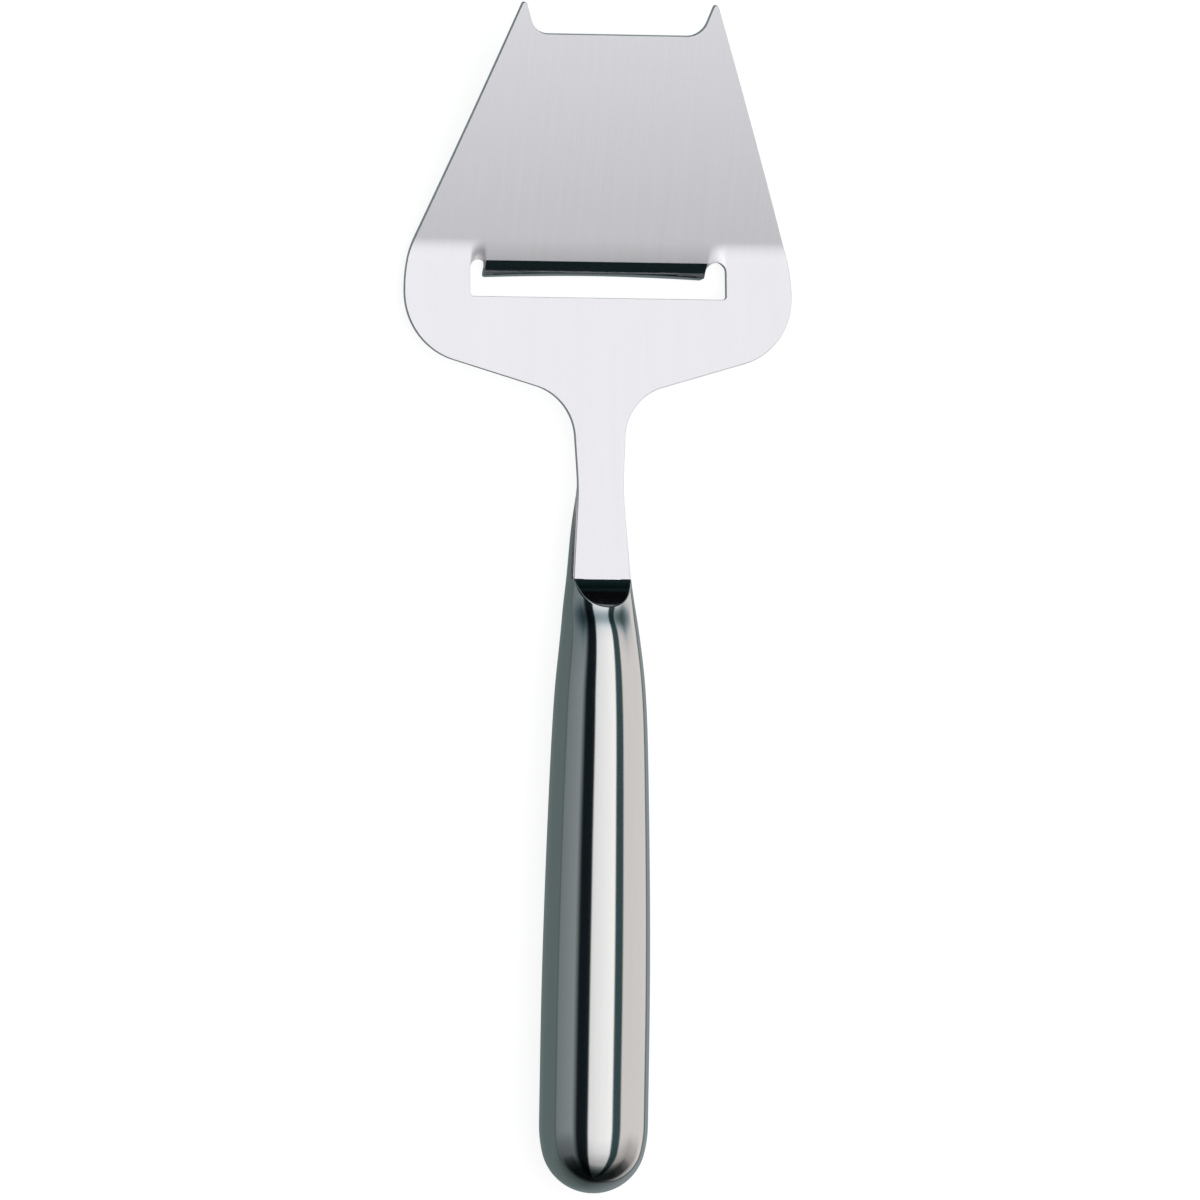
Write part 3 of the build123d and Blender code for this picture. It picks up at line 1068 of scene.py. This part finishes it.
def make_world():
    """A light tent: a top light with dark gaps, side walls and a grey table, white for the camera."""
    colour_a, colour_b, colour_result = 6, 7, 2
    world = bpy.data.worlds.new("studio")
    bpy.context.scene.world = world
    nodes, links = node_tree(world)
    coordinates = nodes.new("ShaderNodeTexCoord")
    axes = nodes.new("ShaderNodeSeparateXYZ")
    links.new(coordinates.outputs["Generated"], axes.inputs[0])
    x, y, z = axes.outputs
    around = ramp(nodes, round_bands(), 180)
    links.new(angle_node(nodes, links, x, z), around.inputs["Fac"])
    ends = ramp(nodes, end_bands(), end_reach)
    links.new(end_node(nodes, links, x, y, z), ends.inputs["Fac"])
    tent = nodes.new("ShaderNodeMix")
    tent.data_type = "RGBA"
    tent.blend_type = "MULTIPLY"
    tent.inputs["Factor"].default_value = 1.0
    links.new(around.outputs["Color"], tent.inputs[colour_a])
    links.new(ends.outputs["Color"], tent.inputs[colour_b])
    lit_tent = nodes.new("ShaderNodeBackground")
    lit_tent.inputs["Strength"].default_value = tent_strength
    links.new(tent.outputs[colour_result], lit_tent.inputs["Color"])
    page = nodes.new("ShaderNodeBackground")
    page.inputs["Color"].default_value = (1, 1, 1, 1)
    path = nodes.new("ShaderNodeLightPath")
    choose = nodes.new("ShaderNodeMixShader")
    output = nodes.new("ShaderNodeOutputWorld")
    links.new(path.outputs["Is Camera Ray"], choose.inputs["Fac"])
    links.new(lit_tent.outputs["Background"], choose.inputs[1])
    links.new(page.outputs["Background"], choose.inputs[2])
    links.new(choose.outputs["Shader"], output.inputs["Surface"])


def make_floor():
    """A pale floor with a faint shadow; polished steel sees the tent's table in its place."""
    floor_size = 12
    paper_grey = 0.3
    glow_grey = 0.86
    bpy.ops.mesh.primitive_plane_add(size=floor_size)
    floor = bpy.context.object
    floor.name = "floor"
    material = bpy.data.materials.new("floor_paper")
    nodes, links = node_tree(material)
    paper = nodes.new("ShaderNodeBsdfDiffuse")
    paper.inputs["Color"].default_value = (paper_grey, paper_grey, paper_grey, 1)
    glow = nodes.new("ShaderNodeEmission")
    glow.inputs["Color"].default_value = (glow_grey, glow_grey, glow_grey, 1)
    bright = nodes.new("ShaderNodeAddShader")
    clear = nodes.new("ShaderNodeBsdfTransparent")
    path = nodes.new("ShaderNodeLightPath")
    choose = nodes.new("ShaderNodeMixShader")
    output = nodes.new("ShaderNodeOutputMaterial")
    links.new(paper.outputs["BSDF"], bright.inputs[0])
    links.new(glow.outputs["Emission"], bright.inputs[1])
    links.new(path.outputs["Is Glossy Ray"], choose.inputs["Fac"])
    links.new(bright.outputs["Shader"], choose.inputs[1])
    links.new(clear.outputs["BSDF"], choose.inputs[2])
    links.new(choose.outputs["Shader"], output.inputs["Surface"])
    floor.data.materials.append(material)


def make_camera():
    """A long lens high over the slicer, leaning to its left, as the photograph has it."""
    right = Vector((0.9553, 0.0166, 0.2915))
    up = Vector((-0.01274, 0.9988, -0.0150))
    back = Vector((-0.292, 0.0106, 0.9563))
    target = Vector((-0.392, -0.235, 10.93)) * MM
    distance = 8.0
    frame_side = 241.9 * MM
    data = bpy.data.cameras.new("camera")
    data.sensor_width = 36
    data.lens = data.sensor_width * distance / frame_side
    camera = bpy.data.objects.new("camera", data)
    bpy.context.scene.collection.objects.link(camera)
    turn = Matrix((right, up, back)).transposed().to_4x4()
    camera.matrix_world = Matrix.Translation(target + back * distance) @ turn
    bpy.context.scene.camera = camera


# Brushed along the slicer, ground across it, and polished; the grain is in millimetres along X, Y and Z
brushed = steel(
    "brushed_steel",
    tint=(0.78, 0.762, 0.80),
    darker=(0.72, 0.702, 0.74),
    roughness=0.34,
    rough_spread=0.04,
    grain=(0.22, 24.0, 24.0),
    bump=0.06,
)
ground = steel(
    "ground_steel",
    tint=(0.54, 0.55, 0.56),
    darker=(0.46, 0.47, 0.48),
    roughness=0.07,
    rough_spread=0.02,
    grain=(24.0, 0.4, 24.0),
    bump=0.01,
)
polished = steel(
    "polished_steel",
    tint=(0.542, 0.542, 0.542),
    darker=(0.518, 0.518, 0.518),
    roughness=0.085,
    rough_spread=0.02,
    grain=(0.25, 40.0, 0.25),
    bump=0.01,
)

make_blade(brushed, ground)
make_upper_shell(polished)
make_lower_shell(polished)
node_steels = {"blade": brushed, "handle_upper_shell": polished, "handle_lower_shell": polished}
for node, material in node_steels.items():
    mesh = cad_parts[node].data
    mesh.materials.clear()
    mesh.materials.append(material)

make_world()
make_floor()
make_camera()
bpy.context.scene.view_settings.view_transform = "Standard"
